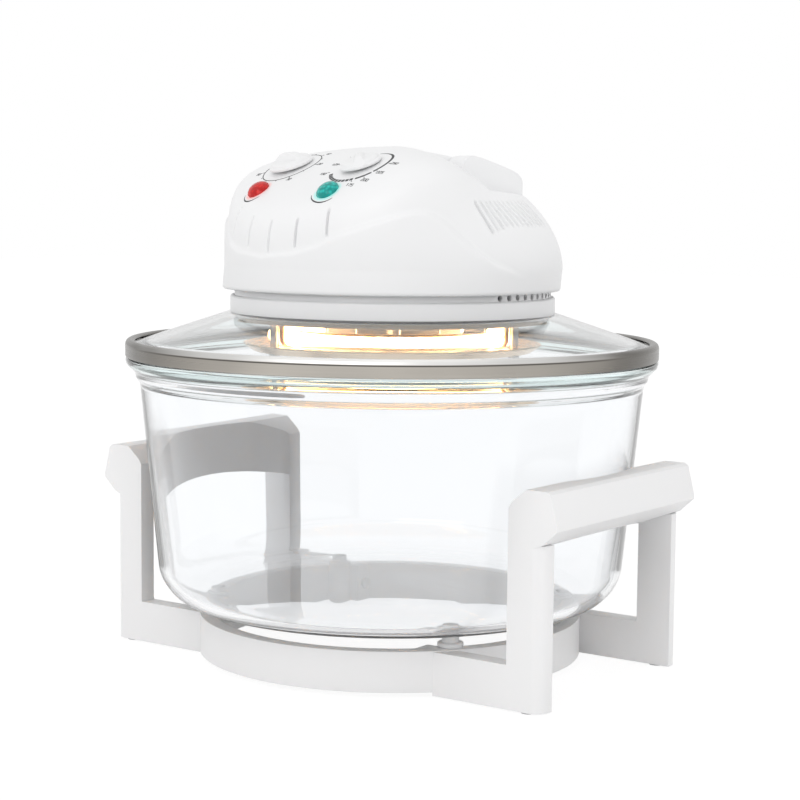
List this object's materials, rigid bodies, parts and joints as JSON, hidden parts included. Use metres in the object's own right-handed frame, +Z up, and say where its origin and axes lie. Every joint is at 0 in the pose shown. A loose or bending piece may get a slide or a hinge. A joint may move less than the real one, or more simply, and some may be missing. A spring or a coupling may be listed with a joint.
{
  "type": "halogen oven",
  "caption": "Halogen oven: a clear glass bowl in a white carrying stand, under a lift-off glass lid with a steel band, a heater and fan head, two dials, pilot lamps and a folding handle.",
  "frame": {"origin": "on the floor under the centre of the stand", "axes": "+Z up, +X through the right carrying bracket, -Y towards the front; the lid is turned 12 degrees clockwise seen from above"},
  "size_m": [0.348, 0.336, 0.3228],
  "materials": {
    "white_plastic": "semi-gloss white",
    "bowl_glass": "clear, faint green edge",
    "cover_glass": "clear, faint green edge",
    "band_steel": "brushed round the rim",
    "silicone": "matt",
    "foot_rubber": "matt",
    "fastener_steel": "zinc plated",
    "pan_steel": "bright",
    "tube_glass": "clear quartz",
    "ceramic_white": "unglazed ceramic",
    "copper": "bare spring strip and winding",
    "stack_iron": "laminated",
    "bearing_bronze": "sintered",
    "fan_metal": "pressed",
    "board_plastic": "moulded",
    "dark_plastic": "moulded",
    "red_plastic": "clear tinted",
    "green_plastic": "clear tinted",
    "neon_glass": "clear",
    "wire_red": "insulated"
  },
  "bodies": {
    "stand": {"stand_ring": "white_plastic", "bracket_left": "white_plastic", "bracket_right": "white_plastic", "bracket_screws": "fastener_steel", "bowl_studs": "white_plastic", "foot_pads": "foot_rubber"},
    "bowl": {"glass_bowl": "bowl_glass"},
    "rotor": {"rotor_shaft": "fastener_steel", "rotor_core": "stack_iron", "cooling_fan": "board_plastic", "convection_fan": "fan_metal", "fan_nut": "fastener_steel"},
    "thermostat_dial": {"thermostat_spindle": "fastener_steel", "thermostat_knob": "white_plastic"},
    "timer_dial": {"timer_spindle": "fastener_steel", "timer_knob": "white_plastic"},
    "handle": {"carry_handle": "white_plastic"},
    "plunger": {"switch_plunger": "red_plastic"},
    "lid": {"lid_glass": "cover_glass", "rim_band": "band_steel", "glass_seal": "silicone", "base_housing": "white_plastic", "head_cover": "white_plastic", "cover_screws": "fastener_steel", "reflector_pan": "pan_steel", "pan_screws": "fastener_steel", "halogen_tube": "tube_glass", "tube_end_caps": "ceramic_white", "tube_clips": "copper", "guard_plate": "pan_steel", "guard_posts": "fastener_steel", "guard_nuts": "fastener_steel", "motor_legs": "fastener_steel", "motor_bridge_lower": "fastener_steel", "motor_stator": "stack_iron", "motor_coil": "copper", "motor_bridge_upper": "fastener_steel", "motor_bearings": "bearing_bronze", "motor_screws": "fastener_steel", "thermostat_body": "board_plastic", "timer_body": "board_plastic", "timer_bell": "fastener_steel", "red_lens": "red_plastic", "green_lens": "green_plastic", "neon_lamps": "neon_glass", "handle_pins": "fastener_steel", "safety_switch": "dark_plastic", "thermal_cutout": "fastener_steel", "terminal_block": "ceramic_white", "inlet_gland": "dark_plastic", "lead_wires": "wire_red"}
  },
  "joints": [
    {"name": "bowl_lift", "type": "slide", "parent": "stand", "child": "bowl", "axis": [0, 0, 1], "range_m": [0, 0.11]},
    {"name": "lid_lift", "type": "slide", "parent": "bowl", "child": "lid", "axis": [0, 0, 1], "range_m": [0, 0.06]},
    {"name": "rotor_spin", "type": "hinge", "parent": "lid", "child": "rotor", "pos_m": [0, 0, 0.24], "axis": [0, 0, 1], "continuous": true},
    {"name": "thermostat_turn", "type": "hinge", "parent": "lid", "child": "thermostat_dial", "pos_m": [0.02074, -0.06115, 0.3098], "axis": [-0.0779, -0.3664, 0.9272], "range_deg": [-270, 0]},
    {"name": "timer_turn", "type": "hinge", "parent": "lid", "child": "timer_dial", "pos_m": [-0.04382, -0.04743, 0.3098], "axis": [-0.0779, -0.3664, 0.9272], "range_deg": [-300, 0]},
    {"name": "handle_fold", "type": "hinge", "parent": "lid", "child": "handle", "pos_m": [0.00343, 0.01614, 0.3063], "axis": [0.9781, -0.2079, 0], "range_deg": [0, 90]},
    {"name": "plunger_slide", "type": "slide", "parent": "lid", "child": "plunger", "axis": [0, 0, 1], "range_m": [0, 0.002]}
  ],
  "couplings": [
    {"joint": "plunger_slide", "follows": "handle_fold", "m_per_rad": 0.001273}
  ]
}
